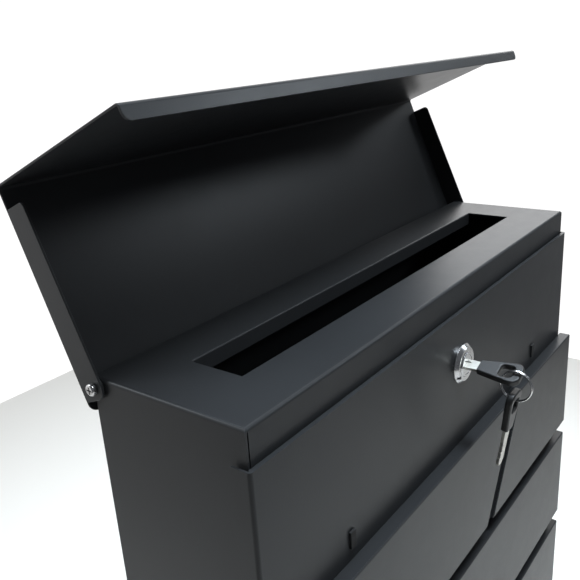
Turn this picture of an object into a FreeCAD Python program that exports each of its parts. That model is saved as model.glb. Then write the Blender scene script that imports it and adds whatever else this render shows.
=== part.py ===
import FreeCAD, Part
import math
import os
import Sketcher
from FreeCAD import Placement, Rotation, Vector

# Wall-mounted drop box of folded sheet steel: a slot in its top under a hinged lid, and a front door,
# faced with raised panels, that is locked by a cam lock and drops forward on two pins at its foot.
#
# Frame: +X to the right, -Y out of the front, +Z up. The origin is the middle of the four wall holes,
# on the back face. Millimetres.

doc = FreeCAD.newDocument("drop_box")
sheet = doc.addObject("Spreadsheet::Sheet", "Sizes")
row = 0


class Size:
    """A length known both as a number and as a formula of the spreadsheet's cells."""

    def __init__(self, number, text=None):
        self.number = float(number)
        self.text = text if text else repr(self.number)

    def combine(self, sign, other, number):
        return Size(number, f"({self.text} {sign} {other.text})")

    def __add__(self, other):
        other = as_size(other)
        return self.combine("+", other, self.number + other.number)

    def __sub__(self, other):
        other = as_size(other)
        return self.combine("-", other, self.number - other.number)

    def __mul__(self, other):
        other = as_size(other)
        return self.combine("*", other, self.number * other.number)

    def __truediv__(self, other):
        other = as_size(other)
        return self.combine("/", other, self.number / other.number)

    def __radd__(self, other):
        return as_size(other) + self

    def __rsub__(self, other):
        return as_size(other) - self

    def __rmul__(self, other):
        return as_size(other) * self

    def __neg__(self):
        return as_size(0) - self


def as_size(value):
    return value if isinstance(value, Size) else Size(value)


def size(alias, value, note):
    """Writes one driving dimension into the spreadsheet and returns it."""
    global row
    row += 1
    sheet.set(f"A{row}", alias)
    sheet.set(f"B{row}", str(value))
    sheet.set(f"C{row}", note)
    sheet.setAlias(f"B{row}", alias)
    return Size(value, f"Sizes.{alias}")


# ---------------------------------------------------------------- driving dimensions
width = size("body_width", 400, "outside width of the box")
depth = size("body_depth", 95, "back face to fascia")
height = size("body_height", 398, "top face to underside of the sides")
wall = size("sheet_thickness", 1.2, "sheet steel")
bend = size("bend_radius", 2.0, "outer radius of a fold")
hole_span_x = size("wall_hole_span_across", 300, "wall holes, left to right")
hole_span_z = size("wall_hole_span_up", 300, "wall holes, lower to upper")
wall_hole = size("wall_hole_diameter", 8, "for a wall screw and its washer")
back_flange = size("back_flange", 14, "side folds of the back panel")

slot_length = size("slot_length", 328, "takes a C4 envelope")
slot_width = size("slot_width", 32.5, "front to back")
slot_setback = size("slot_setback", 33, "fascia to slot")
slot_flange = size("slot_flange", 8, "turned-down edge of the slot")
fascia_drop = size("fascia_drop", 26, "height of the fascia")
catch_depth = size("catch_depth", 16.6, "fascia's return, front to back")
catch_drop = size("catch_drop", 8, "leg that the cam engages behind")
side_lip = size("side_lip", 12, "inward fold at the front edge of a side")
corner_seam = size("corner_seam", 0.7, "open joint between the fascia's ends and the sides")

door_reveal = size("door_reveal", 18.2, "top of the box to top of the door")
door_standoff = size("door_standoff", 3.2, "door face in front of the fascia")
door_overlap = size("door_overlap", 2.6, "door beyond the side of the box")
door_return = size("door_return", 10.7, "depth of the door's side folds")
door_hem = size("door_hem", 8, "folded-back edge at the top of the door")
door_tail = size("door_tail", 6, "door below its hinge pins")
hinge_back = size("hinge_back", 4.4, "hinge pins behind the fascia face")
hinge_up = size("hinge_up", 4.2, "hinge pins above the underside")
hinge_radius = size("hinge_pin_radius", 2, "door hinge pin")

row_start = size("panel_start", 110, "top of the box to the first raised panel")
row_height = size("panel_height", 84.5, "height of a raised panel")
row_gap = size("panel_gap", 12, "gap between rows")
row_depth = size("panel_depth", 8.7, "how far a panel stands off the door")
row_overhang = size("panel_overhang", 3.2, "panel beyond the side of the door")
split_foot = size("split_foot", 30.8, "lower end of the slanted joint, from the middle")
split_lean = size("split_lean", 47.3, "how far the joint leans to the right")
split_gap = size("split_gap", 10.7, "width of the joint along X")
stud_inset = size("stud_inset", 26, "panel stud from the panel's end")
stud_rise = size("stud_rise", 20, "panel stud from the panel's long edges")
stud_radius = size("stud_radius", 1.5, "panel stud")

pivot_in = size("pivot_in", 2.6, "lid pivot in front of the back face")
pivot_down = size("pivot_down", 4.7, "lid pivot below the top")
lid_rise = size("lid_rise", 10.4, "lid's outer face above its pivot")
lid_nose = size("lid_nose", 12.8, "lid's front face in front of the fascia")
lid_drop = size("lid_drop", 102.9, "height of the lid's front face")
lid_lip = size("lid_lip", 8, "lid's turned-in lower edge")
lid_tail = size("lid_tail", 11.5, "lid behind its pivot")
lid_overlap = size("lid_overlap", 2.4, "wing's outer face beyond the side")
lid_open = size("lid_open_angle", 112.4, "degrees from shut to leaning on its stop")
wing_depth = size("wing_depth", 14.7, "wing at its front end")
wing_setback = size("wing_setback", 12.3, "wing's front end behind the lid's front face")
wing_end = size("wing_end_radius", 6.2, "round end about the pivot")
pivot_radius = size("pivot_radius", 2.5, "shoulder of the pivot screw")
pivot_thread = size("pivot_thread_radius", 1.9, "thread of the pivot screw")
pivot_head = size("pivot_head_radius", 3.1, "head of the pivot screw")

bumper_span = size("bumper_span", 263.6, "between the two lid bumpers")
bumper_down = size("bumper_down", 97.4, "top of the box to the middle of a bumper")
bumper_wide = size("bumper_width", 4.6, "rubber pad")
bumper_tall = size("bumper_height", 10, "rubber pad")

lock_down = size("lock_down", 53.3, "top of the box to the lock")
flange_radius = size("lock_flange_radius", 13, "chrome flange")
flange_high = size("lock_flange_height", 3.5, "chrome flange")
collar_wide = size("lock_collar_width", 1.8, "raised ring about the plug")
collar_high = size("lock_collar_height", 0.8, "raised ring about the plug")
barrel_radius = size("lock_barrel_radius", 9.3, "threaded barrel")
barrel_flat = size("lock_barrel_flat", 16, "across the barrel's flats")
barrel_length = size("lock_barrel_length", 20, "behind the flange")
plug_radius = size("lock_plug_radius", 6.4, "turning plug")
cam_reach = size("cam_reach", 24.5, "lock axis to the cam's tip")
cam_wide = size("cam_width", 14, "cam")
cam_sheet = size("cam_thickness", 2, "cam")
square = size("cam_square", 7, "square end of the plug")
key_turn = size("key_turn", 20, "degrees that the plug and its key stand turned to the left")

blade_wide = size("key_blade_width", 7.4, "key blade")
blade_thick = size("key_blade_thickness", 2, "key blade")
blade_in = size("key_blade_inside", 19, "length inside the lock")
neck = size("key_neck", 8.6, "bare metal between lock and bow")
bow_length = size("key_bow_length", 27, "moulded bow")
bow_wide = size("key_bow_width", 16.6, "moulded bow at its widest")
bow_narrow = size("key_bow_narrow", 9.6, "moulded bow at the blade")
bow_thick = size("key_bow_thickness", 4.5, "moulded bow")
bow_taper = size("key_bow_taper", 20, "sloping shoulders of the bow, along the key")
bow_bar = size("key_bow_bar", 5.4, "bar between the bow's eye and its end")
eye_wide = size("key_eye_width", 9.4, "eye of the bow, across")
eye_long = size("key_eye_length", 8.2, "eye of the bow, along the key")
bow_edge = size("key_bow_edge_radius", 1.1, "rounding all over the bow")
ring_radius = size("ring_radius", 9.7, "split ring, to the middle of its wire")
ring_wire = size("ring_wire_radius", 0.55, "split ring wire")
ring_aside = size("ring_aside", 2, "ring slid to the left along the bow's bar")
spare_lean = size("spare_key_lean", 9, "degrees that the hanging key leans to the door")

running = size("running_clearance", 0.06, "radial, shaft in hole")
easy = size("easy_clearance", 0.3, "between parts that pass each other")
doc.recompute()

# ---------------------------------------------------------------- derived places
top = height / 2
foot = -height / 2
side = width / 2
front = -depth
door_face = front - door_standoff
door_back = door_face + wall
door_side = side + door_overlap
door_top = top - door_reveal
hinge_y = front + hinge_back
hinge_z = foot + hinge_up
door_foot = hinge_z - door_tail
slot_front = front + slot_setback
slot_back = slot_front + slot_width
pivot_y = -pivot_in
pivot_z = top - pivot_down
wing_out = side + lid_overlap
wing_in = wing_out - wall
lock_z = top - lock_down
flange_face = door_face - flange_high
barrel_end = door_face + barrel_length
cam_front = barrel_end + easy * 1.5
catch_z = top - fascia_drop
panel_face = door_face - row_depth
bumper_z = top - bumper_down
bumper_x = bumper_span / 2

ALONG_X = Rotation(Vector(0, 1, 0), 90)
ALONG_Y = Rotation(Vector(1, 0, 0), -90)
ALONG_Z = Rotation()
TURNED = Rotation(Vector(0, 1, 0), -key_turn.number)


# ---------------------------------------------------------------- small builders
def bind(thing, prop, value):
    thing.setExpression(prop, as_size(value).text)


def put(thing, x, y, z, turn=ALONG_Z):
    start = [as_size(v).number for v in (x, y, z)]
    thing.Placement = Placement(Vector(*start), turn)
    for axis, value in zip("xyz", (x, y, z)):
        bind(thing, f"Placement.Base.{axis}", value)
    return thing


def block(label, x, y, z):
    """A box between the given low and high places along X, Y and Z."""
    thing = doc.addObject("Part::Box", label)
    for prop, (low, high) in zip(("Length", "Width", "Height"), (x, y, z)):
        bind(thing, prop, as_size(high) - low)
    return put(thing, x[0], y[0], z[0])


def rod(label, turn, radius, length, x, y, z):
    """A cylinder that starts at x, y, z and runs the way that turn points."""
    thing = doc.addObject("Part::Cylinder", label)
    bind(thing, "Radius", radius)
    bind(thing, "Height", length)
    return put(thing, x, y, z, turn)


def hexagon(label, turn, radius, length, x, y, z):
    thing = doc.addObject("Part::Prism", label)
    thing.Polygon = 6
    bind(thing, "Circumradius", radius)
    bind(thing, "Height", length)
    return put(thing, x, y, z, turn)


def cone(label, turn, radius, end_radius, length, x, y, z):
    thing = doc.addObject("Part::Cone", label)
    bind(thing, "Radius1", radius)
    bind(thing, "Radius2", end_radius)
    bind(thing, "Height", length)
    return put(thing, x, y, z, turn)


def join(label, *things):
    thing = doc.addObject("Part::MultiFuse", label)
    thing.Shapes = list(things)
    thing.Refine = True
    return thing


def cut(label, base, *tools):
    thing = doc.addObject("Part::Cut", label)
    thing.Base = base
    thing.Tool = tools[0] if len(tools) == 1 else join(label + "_tools", *tools)
    thing.Refine = True
    return thing


def common(label, one, other):
    thing = doc.addObject("Part::Common", label)
    thing.Base = one
    thing.Tool = other
    return thing


def group(label, *things):
    """Like pieces that share one node, as separate solids."""
    thing = doc.addObject("Part::Compound", label)
    thing.Links = list(things)
    return thing


def mirrored(label, source):
    thing = doc.addObject("Part::Mirroring", label)
    thing.Source = source
    thing.Normal = Vector(1, 0, 0)
    return thing


def both_sides(label, source):
    """The right-hand piece and its left-hand twin."""
    return group(label, source, mirrored(label + "_left", source))


def edges_where(thing, test, along=None):
    """Numbers of the edges whose ends all pass the test, and that run along the given axis if one is."""
    doc.recompute()
    found = []
    for number, edge in enumerate(thing.Shape.Edges, 1):
        ends = [v.Point for v in edge.Vertexes]
        run = ends[-1] - ends[0]
        level = all(abs(getattr(run, axis)) < 1e-4 for axis in "xyz" if axis != along)
        if all(test(p) for p in ends) and (along is None or level and run.Length > 1e-4):
            found.append(number)
    return found


def fillet(label, base, radius, *tests):
    """Rounds the edges picked by each test, given as a function or as (axis, function)."""
    thing = doc.addObject("Part::Fillet", label)
    thing.Base = base
    value = as_size(radius).number
    picked = []
    for test in tests:
        along, passes = test if isinstance(test, tuple) else (None, test)
        picked += [number for number in edges_where(base, passes, along) if number not in picked]
    thing.Edges = [(number, value, value) for number in picked]
    return thing


def near(value, place):
    return abs(value - as_size(place).number) < 1e-4


def outline(body, role, label, points, arcs=()):
    """A closed sketch through the points; arcs maps a corner's number to the radius that rounds it."""
    sketch = body.newObject("Sketcher::SketchObject", label)
    plane = next(f for f in body.Origin.OriginFeatures if f.Role == role)
    sketch.AttachmentSupport = [(plane, "")]
    sketch.MapMode = "FlatFace"
    places = [Vector(as_size(u).number, as_size(v).number, 0) for u, v in points]
    count = len(places)
    for here in range(count):
        sketch.addGeometry(Part.LineSegment(places[here], places[(here + 1) % count]), False)
    for here in range(count):
        following = (here + 1) % count
        sketch.addConstraint(Sketcher.Constraint("Coincident", here, 2, following, 1))
    for here, (u, v) in enumerate(points):
        for kind, value in (("DistanceX", u), ("DistanceY", v)):
            number = as_size(value).number
            mark = sketch.addConstraint(Sketcher.Constraint(kind, -1, 1, here, 1, number))
            sketch.setExpression(f"Constraints[{mark}]", as_size(value).text)
    return sketch


def extrude(body, kind, label, sketch, length, middle=False, backwards=False):
    """A pad or a pocket of the sketch."""
    feature = body.newObject(kind, label)
    feature.Profile = sketch
    feature.SideType = "Symmetric" if middle else "One side"
    feature.Reversed = backwards
    bind(feature, "Length", length)
    sketch.Visibility = False
    body.Tip = feature
    doc.recompute()
    return feature


def dress(body, label, radius, test, along=None):
    """Rounds the edges of the body whose ends pass the test."""
    base = body.Tip
    feature = body.newObject("PartDesign::Fillet", label)
    names = [f"Edge{number}" for number in edges_where(base, test, along)]
    feature.Base = (base, names)
    bind(feature, "Radius", radius)
    body.Tip = feature
    doc.recompute()
    return feature


pieces = {}


def piece(name, thing):
    """Keeps the object as the sub-part with that name."""
    thing.Label = name
    pieces[name] = thing
    return thing


# ---------------------------------------------------------------- box
def body_wrap():
    """Sides, top, fascia and catch, folded from one sheet, with the slot and its turned-down edges."""
    upper = block("wrap_upper", (-side, side), (front, 0), (catch_z, top))
    lower = block("wrap_lower", (-side, side), (front, 0), (foot, catch_z))
    upper = fillet("wrap_upper_folds", upper, bend,
                   ("y", lambda p: near(abs(p.x), side) and near(p.z, top)),
                   ("x", lambda p: near(p.y, front) and near(p.z, top)))
    lower = fillet("wrap_lower_folds", lower, bend, ("z", lambda p: near(abs(p.x), side) and near(p.y, front)))
    skin = join("wrap_skin", upper, lower)
    hollow = block("wrap_hollow", (wall - side, side - wall), (front + wall, wall), (foot - wall, top - wall))
    hollow = fillet("wrap_hollow_folds", hollow, bend - wall,
                    ("y", lambda p: near(abs(p.x), side - wall) and near(p.z, top - wall)),
                    ("x", lambda p: near(p.y, front + wall) and near(p.z, top - wall)),
                    ("z", lambda p: near(abs(p.x), side - wall) and near(p.y, front + wall)))
    mouth = block("wrap_mouth", (side_lip - side, side - side_lip), (front - wall, front + wall),
                  (foot - wall, catch_z))
    slot = block("wrap_slot", (-slot_length / 2, slot_length / 2), (slot_front - wall, slot_back + wall),
                 (top - wall * 2, top + wall))
    # the fascia's ends stop short of the sides, so each front corner is an open seam
    seams = [block(f"wrap_seam_{n}", x, (front - wall, front + wall), (catch_z, top - bend))
             for n, x in enumerate(((wall - side, wall + corner_seam - side), (side - wall - corner_seam, side - wall)))]
    shell = cut("wrap_shell", skin, hollow, mouth, slot, *seams)

    flange_z = (top - slot_flange - wall, top)
    flange_x = (-slot_length / 2, slot_length / 2)
    front_flange = block("slot_front_flange", flange_x, (slot_front - wall, slot_front), flange_z)
    front_flange = fillet("slot_front_roll", front_flange, wall * 0.9,
                          lambda p: near(p.z, top) and near(p.y, slot_front))
    back_flange = block("slot_back_flange", flange_x, (slot_back, slot_back + wall), flange_z)
    back_flange = fillet("slot_back_roll", back_flange, wall * 0.9,
                         lambda p: near(p.z, top) and near(p.y, slot_back))
    shelf_x = (side_lip - side, side - side_lip)
    shelf = block("catch_shelf", shelf_x, (front + wall / 2, front + catch_depth), (catch_z, catch_z + wall))
    leg = block("catch_leg", shelf_x, (front + catch_depth - wall, front + catch_depth),
                (catch_z - catch_drop, catch_z + wall))
    whole = join("wrap_joined", shell, front_flange, back_flange, shelf, leg)

    holes = []
    for number, sign in enumerate((-1, 1)):
        start = side * sign - wall * 2
        holes.append(rod(f"wrap_pivot_hole_{number}", ALONG_X, pivot_thread + running, wall * 4,
                         start, pivot_y, pivot_z))
        holes.append(rod(f"wrap_hinge_hole_{number}", ALONG_X, hinge_radius + running, wall * 4,
                         start, hinge_y, hinge_z))
    return piece("body_wrap", cut("wrap_drilled", whole, *holes))


body_wrap()


def back_panel():
    """Flat back with side flanges, welded between the sides, with the four wall holes."""
    reach = side - wall
    flange = back_flange
    clear_of_pivot = top - 20
    pan = block("back_pan", (-reach, reach), (-flange, 0), (foot, top - wall - 1))
    hollow = block("back_hollow", (wall - reach, reach - wall), (-flange - wall, -wall), (foot - wall, top))
    upper = block("back_upper_relief", (-side, side), (-flange - wall, -wall), (clear_of_pivot, top))
    corners = [block(f"back_corner_relief_{n}", x, (-wall * 2, wall), (top - 12, top))
               for n, x in enumerate(((-side, 8 - reach), (reach - 8, side)))]
    holes = []
    for number, (along, up) in enumerate([(-1, -1), (1, -1), (-1, 1), (1, 1)]):
        holes.append(rod(f"wall_hole_{number}", ALONG_Y, wall_hole / 2, wall * 3,
                         hole_span_x / 2 * along, -wall * 2, hole_span_z / 2 * up))
    return piece("back_panel", cut("back_cut", pan, hollow, upper, *corners, *holes))


back_panel()


def bottom_panel():
    """Floor of the compartment: turned up at the front to hold the post in, turned down at the sides."""
    floor_z = foot + 10
    retain = 18
    reach = side - wall
    floor = block("bottom_floor", (-reach, reach), (front + wall, -back_flange), (floor_z, floor_z + wall))
    floor = fillet("bottom_floor_corners", floor, bend - wall, ("z", lambda p: near(p.y, front + wall)))
    tongue = block("bottom_tongue", (wall - reach, reach - wall), (-back_flange - wall, -wall),
                   (floor_z, floor_z + wall))
    lip = block("bottom_lip", (side_lip - side, side - side_lip), (front + wall, front + wall * 2),
                (floor_z, floor_z + retain))
    skirts = [block(f"bottom_skirt_{n}", sorted((reach * s, (reach - wall) * s), key=lambda v: v.number),
                    (front + 16, -20), (foot + 1, floor_z + wall)) for n, s in enumerate((-1, 1))]
    whole = join("bottom_joined", floor, tongue, lip, *skirts)
    drains = [rod(f"bottom_drain_{n}", ALONG_Z, 3, wall * 3, width / 3 * s, -depth / 2, floor_z - wall)
              for n, s in enumerate((-1, 1))]
    return piece("bottom_panel", cut("bottom_cut", whole, *drains))


bottom_panel()


# ---------------------------------------------------------------- door
def barrel_section(label, radius, flat, length, y):
    """A round bar with two flats, along Y about the lock's axis."""
    bar = rod(label + "_round", ALONG_Y, radius, length, 0, y, lock_z)
    flats = block(label + "_flats", (-radius - 1, radius + 1), (y, as_size(y) + length),
                  (lock_z - flat / 2, lock_z + flat / 2))
    return common(label, bar, flats)


row_tops = [top - row_start - (row_height + row_gap) * n for n in range(3)]
panel_side = door_side + row_overhang
split_left = [split_foot, split_foot + split_lean]
split_right = [split_foot + split_gap, split_foot + split_lean + split_gap]

# name, top of its row, left edge at foot and head, right edge at foot and head
panels = [
    ("upper_left_panel", row_tops[0], (-panel_side, -panel_side), split_left),
    ("upper_right_panel", row_tops[0], split_right, (panel_side, panel_side)),
    ("middle_panel", row_tops[1], (-panel_side, -panel_side), (panel_side, panel_side)),
    ("lower_panel", row_tops[2], (-panel_side, -panel_side), (panel_side, panel_side)),
]


def stud_places():
    """Four studs a panel, set in from its slanted or upright ends."""
    places = []
    for _, head, left, right in panels:
        for share, z in ((stud_rise / row_height, head - row_height + stud_rise),
                         (1 - stud_rise / row_height, head - stud_rise)):
            for (low, high), inward in ((left, stud_inset), (right, -stud_inset)):
                low, high = as_size(low), as_size(high)
                places.append((low + (high - low) * share + inward, z))
    return places


def door_pan():
    """Door skin with folded sides and a hemmed top edge, pierced for the lock, studs, bumpers and pins."""
    outside = block("door_outside", (-door_side, door_side), (door_face, door_face + door_return),
                    (door_foot, door_top))

    def corner(p):
        return near(abs(p.x), door_side) and near(p.y, door_face)

    def inner_corner(p):
        return near(abs(p.x), door_side - wall) and near(p.y, door_back)

    skin = fillet("door_skin", outside, bend, ("z", corner))
    hollow = block("door_hollow", (wall - door_side, door_side - wall),
                   (door_back, door_face + door_return + wall), (door_foot - wall, door_top + wall))
    hollow = fillet("door_hollow_folds", hollow, bend - wall, ("z", inner_corner))
    shell = cut("door_shell", skin, hollow)
    hem = block("door_hem_fold", (wall + easy - door_side, door_side - wall - easy), (door_back - wall / 2, door_back + wall),
                (door_top - door_hem, door_top))
    whole = join("door_joined", shell, hem)
    tools = [barrel_section("door_lock_hole", barrel_radius + running, barrel_flat + running * 2,
                            wall * 6, door_face - wall * 2)]
    for number, (x, z) in enumerate(stud_places()):
        tools.append(rod(f"door_stud_hole_{number}", ALONG_Y, stud_radius + running, wall * 4,
                         x, door_face - wall, z))
    for number, sign in enumerate((-1, 1)):
        tools.append(rod(f"door_bumper_hole_{number}", ALONG_Y, 1.5, wall * 4,
                         bumper_x * sign, door_face - wall, bumper_z))
        tools.append(rod(f"door_pin_hole_{number}", ALONG_X, hinge_radius + running, wall * 6,
                         door_side * sign - wall * 3, hinge_y, hinge_z))
    return piece("door_pan", cut("door_cut", whole, *tools))


door_pan()


def raised_panel(name, head, left, right):
    """A shallow tray, open towards the door, with its front edges rounded over."""
    body = doc.addObject("PartDesign::Body", name + "_body")
    low = head - row_height
    corners = [(left[0], low), (right[0], low), (right[1], head), (left[1], head)]
    # a slanted end is wall/cos(lean) thick along X, so its inner line is set in by that much
    slope = split_lean / row_height
    slant = wall * (1 + slope.number ** 2) ** 0.5
    inset_left = slant if left is split_right else wall
    inset_right = slant if right is split_left else wall

    def along(ends, share):
        return as_size(ends[0]) + (as_size(ends[1]) - ends[0]) * share

    edge = wall / row_height
    inner = [
        (along(left, edge) + inset_left, low + wall),
        (along(right, edge) - inset_right, low + wall),
        (along(right, 1 - edge) - inset_right, head - wall),
        (along(left, 1 - edge) + inset_left, head - wall),
    ]
    tray = extrude(body, "PartDesign::Pad", name + "_tray",
                   outline(body, "XZ_Plane", name + "_edge", corners), row_depth)
    dress(body, name + "_rounding", 1.0, lambda p: near(p.y, -row_depth) or near(p.y, row_depth * 1))
    inside = outline(body, "XZ_Plane", name + "_inside", inner)
    extrude(body, "PartDesign::Pocket", name + "_hollow", inside, row_depth - wall, backwards=True)
    put(body, 0, door_face, 0)
    return piece(name, body)


for panel in panels:
    raised_panel(*panel)


def panel_fixings():
    """Welded studs of the raised panels, with a push-on nut on each inside the door."""
    studs, nuts = [], []
    for number, (x, z) in enumerate(stud_places()):
        studs.append(rod(f"stud_{number}", ALONG_Y, stud_radius, row_depth - wall + wall + 2.4,
                         x, panel_face + wall, z))
        disc = rod(f"stud_disc_{number}", ALONG_Y, 4.2, 0.8, x, door_back, z)
        bore = rod(f"stud_bore_{number}", ALONG_Y, stud_radius, 3, x, door_back - 1, z)
        nuts.append(cut(f"stud_nut_{number}", disc, bore))
    piece("panel_studs", group("panel_studs_group", *studs))
    piece("stud_nuts", group("stud_nuts_group", *nuts))


panel_fixings()


def lid_bumpers():
    """Black rubber pads on the door that the lid's turned-in edge lands on, each held by a stem."""
    thick = door_face - (front - lid_nose + lid_lip) - easy / 3
    pad = block("bumper_pad", (bumper_x - bumper_wide / 2, bumper_x + bumper_wide / 2),
                (door_face - thick, door_face), (bumper_z - bumper_tall / 2, bumper_z + bumper_tall / 2))
    stem = rod("bumper_stem", ALONG_Y, 1.5, wall + thick / 2, bumper_x, door_face - thick / 2, bumper_z)
    button = rod("bumper_button", ALONG_Y, 2.4, 0.8, bumper_x, door_back, bumper_z)
    return piece("lid_bumpers", both_sides("bumpers", join("bumper", pad, stem, button)))


lid_bumpers()


def door_pins():
    """Shouldered rivets fixed in the sides, with a plain bush between side and door."""
    shank = rod("pin_shank", ALONG_X, hinge_radius, door_overlap + wall + easy,
                side - wall, hinge_y, hinge_z)
    head = rod("pin_head", ALONG_X, 3.4, 1.4, door_side + easy, hinge_y, hinge_z)
    inner = rod("pin_inner_head", ALONG_X, 2.4, 1.2, side - wall - 1.2, hinge_y, hinge_z)
    domed = fillet("pin_dome", head, 0.8, lambda p: near(p.x, door_side + easy + 1.4))
    piece("door_hinge_pins", both_sides("pins", join("pin", shank, domed, inner)))
    gap = door_overlap - wall
    ring = rod("bush_ring", ALONG_X, 3.6, gap - easy, side, hinge_y, hinge_z)
    bore = rod("bush_bore", ALONG_X, hinge_radius + running, gap, side, hinge_y, hinge_z)
    piece("door_hinge_bushes", both_sides("bushes", cut("bush", ring, bore)))


door_pins()


# ---------------------------------------------------------------- lid
def lid():
    """One bent sheet: cover, front face and turned-in edge, with a wing down each end of the cover.

    It is drawn shut about its pivot line and then turned back to where it leans on its stop.
    """
    body = doc.addObject("PartDesign::Body", "lid_body")
    reach = wing_out
    over = lid_rise
    nose = -(depth - pivot_in + lid_nose)
    drip = over - lid_drop
    profile = [
        (lid_tail, over), (nose, over), (nose, drip), (nose + lid_lip, drip), (nose + lid_lip, drip + wall),
        (nose + wall, drip + wall), (nose + wall, over - wall), (lid_tail, over - wall),
    ]
    section = outline(body, "YZ_Plane", "lid_section", profile)
    extrude(body, "PartDesign::Pad", "lid_sheet", section, reach * 2, middle=True)

    def one_line(first, second):
        return lambda p: near(p.y, first) and near(p.z, second)

    dress(body, "lid_nose_fold", bend + 1, one_line(nose, over))
    dress(body, "lid_nose_fold_inside", bend + 1 - wall, one_line(nose + wall, over - wall))
    dress(body, "lid_lip_fold", bend, one_line(nose, drip))
    dress(body, "lid_lip_fold_inside", bend - wall, one_line(nose + wall, drip + wall))

    # rounded ends of the turned-in edge
    def lip_corner(p):
        return near(p.y, nose + lid_lip) and near(abs(p.x), reach)

    dress(body, "lid_lip_corners", lid_lip / 2, lip_corner, "z")

    def tail_corner(p):
        return near(p.y, lid_tail) and near(abs(p.x), reach)

    dress(body, "lid_tail_corners", 4.5, tail_corner, "z")

    # wings: flat ends folded down from the cover, round about the pivot
    wing_front = nose + wing_setback
    under = over - wall
    wing_shape = [(wing_front, under), (wing_front, over - wing_depth), (0, -wing_end),
                  (wing_end, -wing_end), (wing_end, under)]
    wing = outline(body, "YZ_Plane", "lid_wing", wing_shape)
    extrude(body, "PartDesign::Pad", "lid_wings", wing, reach * 2, middle=True)
    between = outline(body, "YZ_Plane", "lid_between", [
        (wing_front - wall, under), (wing_front - wall, -wing_end - wing_depth),
        (wing_end + wall, -wing_end - wing_depth), (wing_end + wall, under)])
    extrude(body, "PartDesign::Pocket", "lid_open_underside", between, (reach - wall) * 2, middle=True)
    dress(body, "lid_wing_ends", wing_end - 0.2, one_line(wing_end, -wing_end), "x")
    dress(body, "lid_wing_tips", 3, one_line(wing_front, over - wing_depth), "x")
    bore = body.newObject("Sketcher::SketchObject", "lid_pivot_bore")
    bore.AttachmentSupport = [(next(f for f in body.Origin.OriginFeatures if f.Role == "YZ_Plane"), "")]
    bore.MapMode = "FlatFace"
    bore.addGeometry(Part.Circle(Vector(0, 0, 0), Vector(0, 0, 1), (pivot_radius + running).number), False)
    bore.addConstraint(Sketcher.Constraint("Coincident", 0, 3, -1, 1))
    mark = bore.addConstraint(Sketcher.Constraint("Radius", 0, (pivot_radius + running).number))
    bore.setExpression(f"Constraints[{mark}]", (pivot_radius + running).text)
    extrude(body, "PartDesign::Pocket", "lid_pivot_holes", bore, reach * 3, middle=True)
    body.Placement = Placement(Vector(0, pivot_y.number, pivot_z.number), Rotation(Vector(1, 0, 0), -lid_open.number))
    bind(body, "Placement.Base.y", pivot_y)
    bind(body, "Placement.Base.z", pivot_z)
    return piece("lid", body)


lid()


def lid_pivots():
    """Shouldered screws through the wings into clinch nuts in the sides, with nylon washers between."""
    outer = wing_out + easy
    head = rod("pivot_head", ALONG_X, pivot_head, 2.4, outer, pivot_y, pivot_z)
    head = fillet("pivot_head_round", head, 1.1, lambda p: near(p.x, outer + 2.4))
    recess = [block(f"pivot_recess_{n}", (outer + 1.1, outer + 3), (pivot_y - a, pivot_y + a), (pivot_z - b, pivot_z + b))
              for n, (a, b) in enumerate(((1.9, 0.4), (0.4, 1.9)))]
    head = cut("pivot_head_cross", head, *recess)
    shoulder = rod("pivot_shoulder", ALONG_X, pivot_radius, outer - side, side, pivot_y, pivot_z)
    thread = rod("pivot_thread", ALONG_X, pivot_thread, wall + 2.6, side - wall - 2.6, pivot_y, pivot_z)
    piece("lid_pivot_screws", both_sides("pivot_screws", join("pivot_screw", head, shoulder, thread)))

    gap = lid_overlap - wall
    ring = rod("washer_ring", ALONG_X, 5, gap - easy / 2, side, pivot_y, pivot_z)
    bore = rod("washer_bore", ALONG_X, pivot_radius + running, gap, side, pivot_y, pivot_z)
    piece("lid_pivot_washers", both_sides("washers", cut("washer", ring, bore)))

    nut = rod("clinch_body", ALONG_X, pivot_thread + 0.5, 2.6, side - wall - 2.6, pivot_y, pivot_z)
    tap = rod("clinch_tap", ALONG_X, pivot_thread, 4, side - wall - 3.3, pivot_y, pivot_z)
    piece("lid_clinch_nuts", both_sides("clinch_nuts", cut("clinch_nut", nut, tap)))


lid_pivots()


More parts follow.
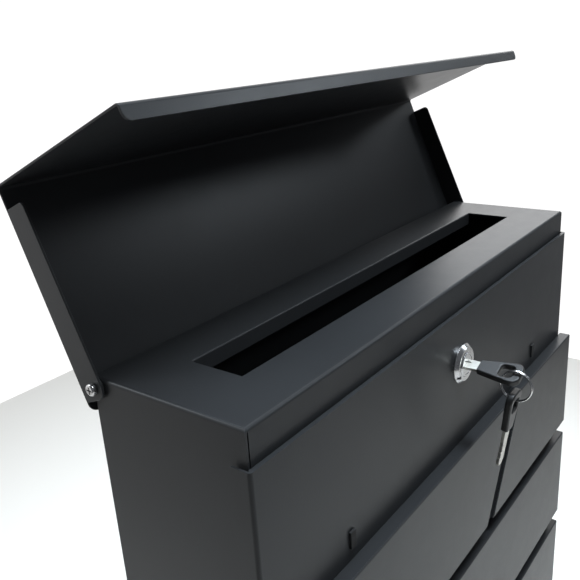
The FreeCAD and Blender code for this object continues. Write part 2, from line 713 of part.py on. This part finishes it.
# ---------------------------------------------------------------- lock
def lock():
    """Cam lock: chromed housing in the door, turning plug, cam behind, and their nuts."""
    flange = cone("lock_flange_cone", ALONG_Y, flange_radius - 2.2, flange_radius, flange_high - 1.2,
                  0, flange_face, lock_z)
    rim = rod("lock_flange_rim", ALONG_Y, flange_radius, 1.2, 0, door_face - 1.2, lock_z)
    collar = cone("lock_collar", ALONG_Y, plug_radius + collar_wide - 0.5, plug_radius + collar_wide, collar_high,
                  0, flange_face - collar_high, lock_z)
    barrel = barrel_section("lock_barrel", barrel_radius, barrel_flat, barrel_length, door_face)
    solid = join("lock_housing_solid", flange, rim, collar, barrel)
    bore = rod("lock_bore", ALONG_Y, plug_radius + running, barrel_length + flange_high + collar_high + 2,
               0, flange_face - collar_high - 1, lock_z)
    # small index notch in the flange's bevel, low on its left
    notch = block("lock_notch", (-flange_radius * 0.86, -flange_radius * 0.6), (flange_face - 1, flange_face + 1.6),
                  (lock_z - flange_radius * 0.55, lock_z - flange_radius * 0.38))
    piece("lock_housing", cut("lock_housing_cut", solid, bore, notch))

    nut = hexagon("lock_nut_body", ALONG_Y, barrel_radius + 3.7, 4, 0, door_back, lock_z)
    nut_bore = rod("lock_nut_bore", ALONG_Y, barrel_radius + running, 6, 0, door_back - 1, lock_z)
    piece("lock_nut", cut("lock_nut_cut", nut, nut_bore))

    # the plug and its cam are drawn with the keyway level and then turned with the key
    face = flange_face - collar_high + 0.3
    round_plug = rod("plug_round", ALONG_Y, plug_radius, barrel_end - face, 0, face, 0)
    tail = block("plug_square", (-square / 2, square / 2), (barrel_end, cam_front + cam_sheet),
                 (-square / 2, square / 2))
    stud = rod("plug_stud", ALONG_Y, 2.5, 5.6, 0, cam_front + cam_sheet, 0)
    keyway = block("plug_keyway", (-blade_wide / 2 - 0.15, blade_wide / 2 + 0.15),
                   (face - 2, flange_face + blade_in + 0.6),
                   (-blade_thick / 2 - 0.15, blade_thick / 2 + 0.15))
    plug = cut("plug_cut", join("plug_solid", round_plug, tail, stud), keyway)
    piece("lock_plug", put(plug, 0, 0, lock_z, TURNED))

    arm = block("cam_arm", (-cam_reach + cam_wide / 2, 0), (cam_front, cam_front + cam_sheet),
                (-cam_wide / 2, cam_wide / 2))
    hub = rod("cam_hub", ALONG_Y, cam_wide / 2, cam_sheet, 0, cam_front, 0)
    tip = rod("cam_tip", ALONG_Y, cam_wide / 2, cam_sheet, -cam_reach + cam_wide / 2, cam_front, 0)
    hole = block("cam_hole", (-square / 2 - 0.1, square / 2 + 0.1), (cam_front - 1, cam_front + cam_sheet + 1),
                 (-square / 2 - 0.1, square / 2 + 0.1))
    cam = cut("cam_cut", join("cam_solid", arm, hub, tip), hole)
    piece("lock_cam", put(cam, 0, 0, lock_z, TURNED))

    behind = cam_front + cam_sheet
    disc = rod("cam_washer_disc", ALONG_Y, 5.5, 1, 0, behind, 0)
    disc_bore = rod("cam_washer_bore", ALONG_Y, 2.6, 3, 0, behind - 1, 0)
    piece("cam_washer", put(cut("cam_washer_cut", disc, disc_bore), 0, 0, lock_z, TURNED))
    hexagonal = hexagon("cam_nut_body", ALONG_Y, 4.6, 3.6, 0, behind + 1, 0)
    hexagonal_bore = rod("cam_nut_bore", ALONG_Y, 2.5, 5, 0, behind, 0)
    piece("cam_nut", put(cut("cam_nut_cut", hexagonal, hexagonal_bore), 0, 0, lock_z, TURNED))


lock()


# ---------------------------------------------------------------- keys
def key(prefix, placement):
    """A flat key along +Y with its shoulder at the origin: toothed blade, and a bow moulded on its tang."""
    tip = neck + blade_in
    tang = 12
    half = blade_wide / 2
    body = doc.addObject("PartDesign::Body", prefix + "_blade_body")
    tooth = 2.2
    teeth = 7
    outline_points = [(-half, -tang), (half, -tang), (half, tip - 3), (half / 2, tip), (-half / 2, tip),
                      (-half, tip - 3)]
    # cuts of uneven depth down one edge
    cuts = (0.6, 1.5, 0.9, 1.9, 1.2, 1.7, 0.7)
    for number in range(teeth):
        foot_y = tip - 5 - number * tooth
        outline_points.append((-half + cuts[number], foot_y))
        outline_points.append((-half, foot_y - tooth * 0.5))
    blade_edge = outline(body, "XY_Plane", prefix + "_blade_edge", outline_points)
    extrude(body, "PartDesign::Pad", prefix + "_blade_pad", blade_edge, blade_thick, middle=True)
    groove = outline(body, "XY_Plane", prefix + "_groove", [
        (0.5, neck * 0.7), (1.7, neck * 0.7), (1.7, tip + 1), (0.5, tip + 1)])
    lift = Placement(Vector(0, 0, blade_thick.number / 2), Rotation())
    groove.AttachmentOffset = lift
    bind(groove, "AttachmentOffset.Base.z", blade_thick / 2)
    extrude(body, "PartDesign::Pocket", prefix + "_groove_cut", groove, blade_thick / 3)
    body.Placement = placement
    piece(prefix + "_blade", body)

    bow = doc.addObject("PartDesign::Body", prefix + "_bow_body")
    wide = bow_wide / 2
    slim = bow_narrow / 2
    shoulder = bow_taper
    edge = outline(bow, "XY_Plane", prefix + "_bow_edge", [
        (slim, 0), (wide, -shoulder), (wide, -bow_length), (-wide, -bow_length), (-wide, -shoulder), (-slim, 0)])
    extrude(bow, "PartDesign::Pad", prefix + "_bow_pad", edge, bow_thick, middle=True)
    dress(bow, prefix + "_bow_corners", 5, lambda p: near(abs(p.x), wide) and near(p.y, -bow_length), "z")
    dress(bow, prefix + "_bow_shoulders", 6, lambda p: near(abs(p.x), wide) and near(p.y, -shoulder), "z")
    eye_end = -bow_length + bow_bar
    eye_half = eye_wide / 2
    eye = outline(bow, "XY_Plane", prefix + "_eye", [
        (eye_half, eye_end), (eye_half, eye_end + eye_long), (-eye_half, eye_end + eye_long), (-eye_half, eye_end)])
    extrude(bow, "PartDesign::Pocket", prefix + "_eye_cut", eye, bow_thick * 2, middle=True)
    dress(bow, prefix + "_eye_corners", 2,
          lambda p: near(abs(p.x), eye_half) and (near(p.y, eye_end) or near(p.y, eye_end + eye_long)), "z")
    dress(bow, prefix + "_bow_round", bow_edge, lambda p: near(abs(p.z), bow_thick / 2) and p.y < -0.01)
    socket = outline(bow, "XY_Plane", prefix + "_socket", [(-half, -tang), (half, -tang), (half, 1), (-half, 1)])
    extrude(bow, "PartDesign::Pocket", prefix + "_socket_cut", socket, blade_thick, middle=True)
    bow.Placement = placement
    piece(prefix + "_bow", bow)


shoulder_y = flange_face - neck
key("key", Placement(Vector(0, shoulder_y.number, lock_z.number), TURNED))

bar_y = shoulder_y - bow_length + bow_bar / 2
ring_inner = ring_radius - ring_wire
slope = math.radians(key_turn.number)
# the bow's bar slopes down to the left, and the ring hangs from the bar's rounded upper edges
bar_z = lock_z - ring_aside * math.tan(slope)
half_bar = bow_thick / 2 / math.cos(slope)
hang = ring_inner - bow_bar * 0.2 - half_bar - easy
ring_z = bar_z - hang


def key_ring():
    """Split ring: two turns of wire side by side, hung over the bar of the bow."""
    turns = []
    for number, shift in enumerate((-0.92, 0.92)):
        turn = doc.addObject("Part::Torus", f"ring_turn_{number}")
        bind(turn, "Radius1", ring_radius)
        bind(turn, "Radius2", ring_wire)
        turns.append(put(turn, ring_wire * shift - ring_aside, bar_y, ring_z, ALONG_X))
    return piece("key_ring", join("ring_turns", *turns))


key_ring()

# the spare key hangs on the ring's lowest part, bow up, leaning a little to the door
lean = Rotation(Vector(1, 0, 0), spare_lean.number)
hung = Rotation(Vector(1, 0, 0), -90)
ring_centre = Vector(-ring_aside.number, bar_y.number, ring_z.number)
bar_centre = ring_inner.number - bow_bar.number / 2 - easy.number
shoulder_below = bar_centre + bow_length.number - bow_bar.number / 2
spare_place = Placement(ring_centre, lean) * Placement(Vector(0, 0, -shoulder_below), hung)
key("spare_key", spare_place)

# ---------------------------------------------------------------- check and export
doc.recompute()
for thing in doc.Objects:
    if "Invalid" in thing.State or "Error" in thing.State:
        raise RuntimeError(f"{thing.Label}: {thing.State}")
for name, thing in pieces.items():
    if thing.Shape.isNull() or not thing.Shape.isValid():
        raise RuntimeError(f"{name}: bad shape")
os.makedirs("parts", exist_ok=True)
for name, thing in pieces.items():
    thing.Shape.exportStep(f"parts/{name}.step")
    print(f"{name}: {len(thing.Shape.Solids)} solid(s), {thing.Shape.Volume:.1f} mm3")
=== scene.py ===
import bpy
import bmesh
from math import radians
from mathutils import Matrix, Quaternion, Vector


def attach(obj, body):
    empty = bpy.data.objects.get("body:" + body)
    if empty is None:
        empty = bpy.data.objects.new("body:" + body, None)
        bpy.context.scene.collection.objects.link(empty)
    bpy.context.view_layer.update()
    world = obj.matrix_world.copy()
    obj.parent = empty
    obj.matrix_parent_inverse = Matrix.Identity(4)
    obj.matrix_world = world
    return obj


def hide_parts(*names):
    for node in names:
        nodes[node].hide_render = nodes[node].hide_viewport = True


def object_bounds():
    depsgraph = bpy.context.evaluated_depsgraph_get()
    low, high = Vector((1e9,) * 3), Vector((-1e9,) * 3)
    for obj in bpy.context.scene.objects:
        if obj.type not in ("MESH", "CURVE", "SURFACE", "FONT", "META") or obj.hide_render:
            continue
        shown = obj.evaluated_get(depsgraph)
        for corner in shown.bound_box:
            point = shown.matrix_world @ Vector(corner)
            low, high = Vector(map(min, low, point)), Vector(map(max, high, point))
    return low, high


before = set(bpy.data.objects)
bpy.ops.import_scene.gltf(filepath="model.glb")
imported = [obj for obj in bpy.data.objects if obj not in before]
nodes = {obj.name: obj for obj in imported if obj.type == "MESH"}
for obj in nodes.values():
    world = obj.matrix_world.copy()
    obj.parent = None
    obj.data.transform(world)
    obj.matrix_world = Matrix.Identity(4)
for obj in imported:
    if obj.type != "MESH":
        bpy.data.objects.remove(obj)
cad_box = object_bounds()

# ---------------------------------------------------------------- camera
# A short lens close to the left of the box, looking down across the open slot.
camera_data = bpy.data.cameras.new("camera")
camera_data.sensor_width = 36.0
camera_data.lens = 44.3436
camera_data.shift_x = -0.02793
camera_data.shift_y = -0.01383
camera_data.clip_start = 0.01
camera = bpy.data.objects.new("camera", camera_data)
camera.location = (-0.38338, -0.268768, 0.346125)
camera.rotation_mode = "QUATERNION"
camera.rotation_quaternion = Quaternion((0.71779783, 0.52741894, -0.24367243, -0.38369165))
bpy.context.scene.collection.objects.link(camera)
bpy.context.scene.camera = camera
bpy.context.scene.view_settings.view_transform = "Standard"


# ---------------------------------------------------------------- studio
# A room that is white behind the box and dim in front of it, with a long soft box low beyond the
# right-hand end, two windows above, a small one to the right and a small one behind the left corner.
class Wire:
    """One output of a shader node. Arithmetic on it adds Math nodes."""

    def __init__(self, socket):
        self.socket = socket

    @staticmethod
    def add(tree, kind, settings=(), inputs=(), out=0):
        """Adds a node, makes its settings, then fills its inputs with values or wires."""
        node = tree.nodes.new(kind)
        for name, value in dict(settings).items():
            setattr(node, name, value)
        for name, value in dict(inputs).items():
            if isinstance(value, Wire):
                tree.links.new(value.socket, node.inputs[name])
            elif value is not None:
                node.inputs[name].default_value = value
        return Wire(node.outputs[out])

    def math(self, operation, other):
        tree = self.socket.id_data
        return Wire.add(tree, "ShaderNodeMath", {"operation": operation}, {0: self, 1: other})

    def __add__(self, other):
        return self.math("ADD", other)

    __radd__ = __add__

    def __mul__(self, other):
        return self.math("MULTIPLY", other)

    __rmul__ = __mul__


def feed(tree, wire, socket):
    tree.links.new(wire.socket, socket)


def blend(tree, share, low, high):
    """A colour between low and high."""
    return Wire.add(tree, "ShaderNodeMix", {"data_type": "RGBA"}, {0: share, 6: low, 7: high}, out=2)


dim_front = (0.12, 0.125, 0.135, 1)
white_back = (1.08, 1.08, 1.08, 1)
room = bpy.data.worlds.new("half white room")
bpy.context.scene.world = room
room.use_nodes = True
tree = room.node_tree
direction = Wire.add(tree, "ShaderNodeTexCoord", out="Generated")
split = Wire.add(tree, "ShaderNodeSeparateXYZ", {}, {0: direction}).socket.node
to_the_right = Wire(split.outputs["X"])
to_the_back = Wire(split.outputs["Y"])
behind = Wire.add(tree, "ShaderNodeMapRange", {"interpolation_type": "SMOOTHSTEP"},
                  {"Value": to_the_right * 0.35 + to_the_back * 0.93, "From Min": 0.0, "From Max": 0.42})
feed(tree, blend(tree, behind, dim_front, white_back), tree.nodes["Background"].inputs["Color"])


def soft_box(name, place, target, size, power, tone=(1.0, 1.0, 1.0), spread=180):
    """A rectangular lamp that faces its target. Size is in metres and power in watts."""
    light = bpy.data.lights.new(name, "AREA")
    light.shape = "RECTANGLE"
    light.size, light.size_y = size
    light.energy = power
    light.color = tone
    light.spread = radians(spread)
    lamp = bpy.data.objects.new(name, light)
    lamp.location = place
    lamp.rotation_euler = (Vector(target) - Vector(place)).to_track_quat("-Z", "Y").to_euler()
    bpy.context.scene.collection.objects.link(lamp)


soft_box("low_box", (2.0, 0.5, 1.0), (-0.05, -0.05, 0.2), (1.6, 0.7), 1.6, spread=70)
soft_box("top_box", (0.1, -0.12, 2.0), (0.05, -0.1, 0.2), (1.3, 0.3), 6.3, (0.76, 0.88, 1.0), 60)
soft_box("window_box", (0.25, -0.6, 1.8), (0, -0.1, 0.25), (1.4, 0.5), 4, (0.88, 0.95, 1.0), 70)
soft_box("side_window", (1.3, -1.0, 1.05), (0, 0, 0.42), (0.6, 0.3), 0.26, (0.85, 0.93, 1.0), 30)
soft_box("corner_box", (-0.9, 1.4, 1.4), (-0.2, -0.05, 0.2), (0.5, 0.5), 1.3, (0.85, 0.93, 1.0), 60)


# ---------------------------------------------------------------- floor
# A plain pale sheet that isn't part of the object. The box hangs on a wall, so the floor lies low enough
# for its door to drop open.
def new_finish(name):
    """An empty material: its node tree, its shader's input sockets, and Object coordinates."""
    material = bpy.data.materials.new(name)
    material.use_nodes = True
    tree = material.node_tree
    shader = tree.nodes["Principled BSDF"].inputs
    place = Wire.add(tree, "ShaderNodeTexCoord", out="Object")
    return material, tree, shader, place


def noise(tree, place, scale, detail=2.0, rough=0.5):
    """Noise from 0 to 1 with this many grains in a metre."""
    return Wire.add(tree, "ShaderNodeTexNoise", {},
                    {"Vector": place, "Scale": scale, "Detail": detail, "Roughness": rough})


floor_half_size = 0.95
floor_below_box = 0.085
floor_height = cad_box[0][2] - floor_below_box
floor_mesh = bpy.data.meshes.new("floor")
build = bmesh.new()
bmesh.ops.create_grid(build, x_segments=1, y_segments=1, size=floor_half_size)
bmesh.ops.translate(build, verts=build.verts, vec=(0, 0, floor_height))
build.to_mesh(floor_mesh)
build.free()
floor = bpy.data.objects.new("floor", floor_mesh)
bpy.context.scene.collection.objects.link(floor)
floor_paint, tree, shader, place = new_finish("pale floor")
patches = noise(tree, place, 3.0)
feed(tree, blend(tree, patches, (0.80, 0.77, 0.72, 1), (0.83, 0.80, 0.75, 1)), shader["Base Color"])
shader["Roughness"].default_value = 0.7
floor_mesh.materials.append(floor_paint)


# ---------------------------------------------------------------- box sheet
# Both sides, the top with its slot and the fascia over the door are one sheet of 1.2 mm steel, cut flat,
# folded, and coated with satin anthracite powder: a fine orange-peel skin, a faint mottle, and the very
# slight waves that thin sheet keeps after folding.
def bump(tree, height, distance, strength, under=None):
    """A normal from a height, on top of another normal."""
    return Wire.add(tree, "ShaderNodeBump", {},
                    {"Height": height, "Distance": distance, "Strength": strength, "Normal": under})


def powder_coat(name, seed):
    """Powder coat whose pattern the seed shifts, so that it doesn't run on from box to door and lid."""
    coat_dark = (0.0215, 0.0225, 0.0240, 1)
    coat_light = (0.0295, 0.0307, 0.0325, 1)
    material, tree, shader, place = new_finish(name)
    shifted = Wire.add(tree, "ShaderNodeVectorMath", {"operation": "ADD"},
                       {0: place, 1: (seed, seed * 0.7, -seed)})
    mottle = noise(tree, shifted, 90.0, 4.0, 0.6)
    cloud = noise(tree, shifted, 7.0)
    share = mottle * 0.45 + cloud * 0.55
    feed(tree, blend(tree, share, coat_dark, coat_light), shader["Base Color"])
    feed(tree, mottle * 0.08 + cloud * 0.06 + 0.29, shader["Roughness"])
    shader["Specular IOR Level"].default_value = 0.17
    peel = noise(tree, shifted, 900.0)
    grain = noise(tree, shifted, 2600.0, 1.0)
    waves = noise(tree, shifted, 11.0, 1.0)
    skin = bump(tree, peel * 0.7 + grain * 0.3, 0.00006, 0.5)
    feed(tree, bump(tree, waves, 0.0006, 0.5, skin), shader["Normal"])
    return material


def coated(node, name, finish, film, body):
    """A copy of the node's solid whose sharp edges are rounded to the radius that its film gives them."""
    merge_distance = 2e-6
    flat_angle = radians(0.8)
    sharp_angle = radians(30)
    build = bmesh.new()
    build.from_mesh(nodes[node].data)
    bmesh.ops.remove_doubles(build, verts=build.verts, dist=merge_distance)
    bmesh.ops.dissolve_limit(build, angle_limit=flat_angle, verts=build.verts, edges=build.edges)
    for face in build.faces:
        face.smooth = True
    mesh = bpy.data.meshes.new(name)
    build.to_mesh(mesh)
    build.free()
    mesh.materials.clear()
    mesh.materials.append(finish)
    piece = bpy.data.objects.new(name, mesh)
    bpy.context.scene.collection.objects.link(piece)
    rounding = piece.modifiers.new("film", "BEVEL")
    rounding.width = film
    rounding.segments = 2
    rounding.limit_method = "ANGLE"
    rounding.angle_limit = sharp_angle
    rounding.use_clamp_overlap = True
    rounding.harden_normals = False
    weight = piece.modifiers.new("flats", "WEIGHTED_NORMAL")
    weight.weight = 90
    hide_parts(node)
    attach(piece, body)


box_coat = powder_coat("powder coat box", 0.3)
coated("body_wrap", "box_sheet", box_coat, 0.00035, "box")

# ---------------------------------------------------------------- back and bottom
# Two flanged panels of the same steel, spot-welded inside the folded sheet before it is coated. The back
# has four holes for the wall screws.
coated("back_panel", "back_sheet", box_coat, 0.0003, "box")
coated("bottom_panel", "bottom_sheet", box_coat, 0.0003, "box")

# ---------------------------------------------------------------- door
# One sheet with its sides folded back over the box and its top edge hemmed, so that no raw edge shows.
# It turns on two pins at its foot.
door_coat = powder_coat("powder coat door", 2.1)
coated("door_pan", "door_sheet", door_coat, 0.0004, "door")

# ---------------------------------------------------------------- raised panels
# Four shallow trays, each folded from its own sheet, with welded studs that hold it to the door. A
# slanted joint parts the two in the upper row.
panel_coat = powder_coat("powder coat panels", 4.7)
for panel in ("upper_left_panel", "upper_right_panel", "middle_panel", "lower_panel"):
    coated(panel, panel.replace("_panel", "_tray"), panel_coat, 0.0004, "door")

# ---------------------------------------------------------------- lid
# One sheet bent over the box's front, with a turned-in lower edge and a wing folded down at each end for
# its pivot.
lid_coat = powder_coat("powder coat lid", 6.3)
coated("lid", "lid_sheet", lid_coat, 0.0003, "lid")


# ---------------------------------------------------------------- lock and lid screws
# The housing with its bevelled flange and the turning plug are cast zinc, and the lid's two pan-head
# pivot screws are steel. All are bright chromed, with a trace of scuffing.
def bright_metal(name, tone, rough, scale):
    """Plated metal. Fine scuffs vary its tone, its gloss and its surface."""
    material, tree, shader, place = new_finish(name)
    scuff = noise(tree, place, scale, 3.0)
    scuffed_tone = tuple(0.8 * channel for channel in tone) + (1,)
    feed(tree, blend(tree, scuff, scuffed_tone, tone + (1,)), shader["Base Color"])
    shader["Metallic"].default_value = 1.0
    feed(tree, scuff * rough + rough * 0.7, shader["Roughness"])
    feed(tree, bump(tree, scuff, 0.00004, 0.6), shader["Normal"])
    return material


chrome = bright_metal("chrome", (0.58, 0.58, 0.585), 0.2, 500)
coated("lock_housing", "lock_body", chrome, 0.00025, "door")
coated("lock_plug", "lock_core", chrome, 0.0002, "plug")
coated("lid_pivot_screws", "lid_screws", chrome, 0.00015, "box")

# ---------------------------------------------------------------- lock nut and cam
# The nut that clamps the housing to the door, and the stamped cam on the plug's square end with its
# washer and nut. All are zinc-plated steel.
zinc = bright_metal("zinc plate", (0.62, 0.62, 0.64), 0.36, 700)
plated_film = 0.0002
coated("lock_nut", "lock_nut_plated", zinc, plated_film, "door")
coated("lock_cam", "lock_cam_plated", zinc, plated_film, "plug")
coated("cam_washer", "cam_washer_plated", zinc, plated_film, "plug")
coated("cam_nut", "cam_nut_plated", zinc, plated_film, "plug")

# ---------------------------------------------------------------- pins, clinch nuts and panel studs
# The door's two hinge pins, the nuts pressed into the sides for the lid's screws, the studs welded to the
# raised panels, and the push-on nuts that hold the studs inside the door.
coated("door_hinge_pins", "door_hinge_pins_plated", zinc, plated_film, "box")
coated("lid_clinch_nuts", "lid_clinch_nuts_plated", zinc, plated_film, "box")
coated("panel_studs", "panel_studs_plated", zinc, plated_film, "door")
coated("stud_nuts", "stud_nuts_plated", zinc, plated_film, "door")


# ---------------------------------------------------------------- washers and bushes
# Black nylon washers keep the lid's wings off the box, and nylon bushes do so for the door's folded
# sides. Both are moulded, with a fine matt grain, and sit loose on their screws and pins.
def black_moulding(name, tone, rough, grain_scale, grain_depth):
    """Black plastic or rubber. Clouds vary its tone and gloss, and a grain covers it."""
    material, tree, shader, place = new_finish(name)
    cloud = noise(tree, place, 120.0, 3.0)
    worn = (tone * 0.8,) * 3 + (1,)
    fresh = (tone * 1.25,) * 3 + (1,)
    feed(tree, blend(tree, cloud, worn, fresh), shader["Base Color"])
    feed(tree, cloud * 0.12 + rough, shader["Roughness"])
    grain = noise(tree, place, grain_scale)
    feed(tree, bump(tree, grain, grain_depth, 0.6), shader["Normal"])
    return material


nylon = black_moulding("nylon", 0.02, 0.5, 900, 0.00003)
coated("lid_pivot_washers", "lid_washers", nylon, 0.0002, "box")
coated("door_hinge_bushes", "door_bushes", nylon, 0.0002, "box")

# ---------------------------------------------------------------- lid bumpers
# Two narrow black rubber pads on the door, where the edge of the shut lid lands. Each is moulded in one
# piece with the stem that holds it through the door.
rubber = black_moulding("rubber", 0.009, 0.75, 1400, 0.00006)
coated("lid_bumpers", "lid_pads", rubber, 0.0004, "door")

# ---------------------------------------------------------------- keys
# The key in the lock and the spare that hangs from it. Each is a flat nickel-plated blade with uneven
# cuts along one edge and a black plastic handle moulded round its end.
bow_plastic = black_moulding("bow plastic", 0.007, 0.38, 1800, 0.00004)
coated("key_bow", "key_handle", bow_plastic, 0.0002, "key")
coated("spare_key_bow", "spare_key_handle", bow_plastic, 0.0002, "spare_key")
nickel = bright_metal("nickel", (0.50, 0.49, 0.45), 0.3, 800)
coated("key_blade", "key_metal", nickel, 0.00012, "key")
coated("spare_key_blade", "spare_key_metal", nickel, 0.00012, "spare_key")

# ---------------------------------------------------------------- split ring
# A ring of bright plated spring wire, sprung open and wound on through the eyes of both keys, which
# swing on it.
coated("key_ring", "ring_wire", chrome, 0.0001, "ring")
